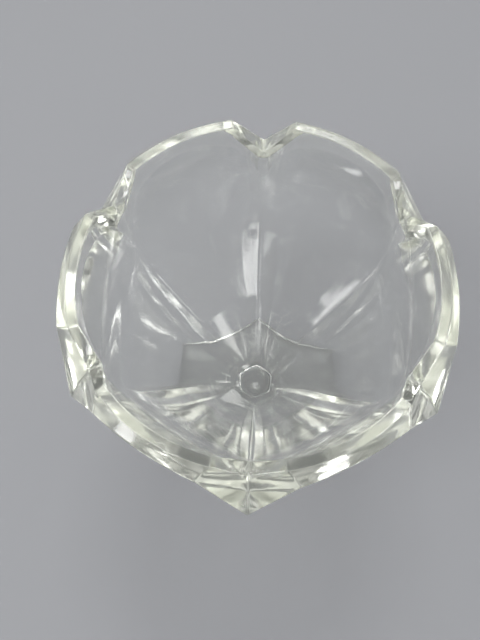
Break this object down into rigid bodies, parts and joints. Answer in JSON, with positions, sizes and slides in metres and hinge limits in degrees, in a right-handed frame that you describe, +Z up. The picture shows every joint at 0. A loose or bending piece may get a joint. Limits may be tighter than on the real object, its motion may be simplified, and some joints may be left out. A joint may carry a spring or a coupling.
{
  "type": "footed mixing glass",
  "caption": "Clear pressed-glass vessel: a tapered six-sided bowl with a notched rim of six lobes, on a narrow waist and a six-sided foot.",
  "frame": {"origin": "centre of the foot's underside, on the surface that the glass stands on", "axes": "+Z up along the glass's axis, towards the open rim; +Y towards one of the six ridges; +X towards the middle of one of the six panels"},
  "size_m": [0.1056, 0.1164, 0.125],
  "materials": {
    "clear_glass": "clear colourless pressed glass, fire-polished, with faint mould ripple and fine wear"
  },
  "bodies": {
    "root": {"glass_body": "clear_glass"}
  },
  "joints": []
}
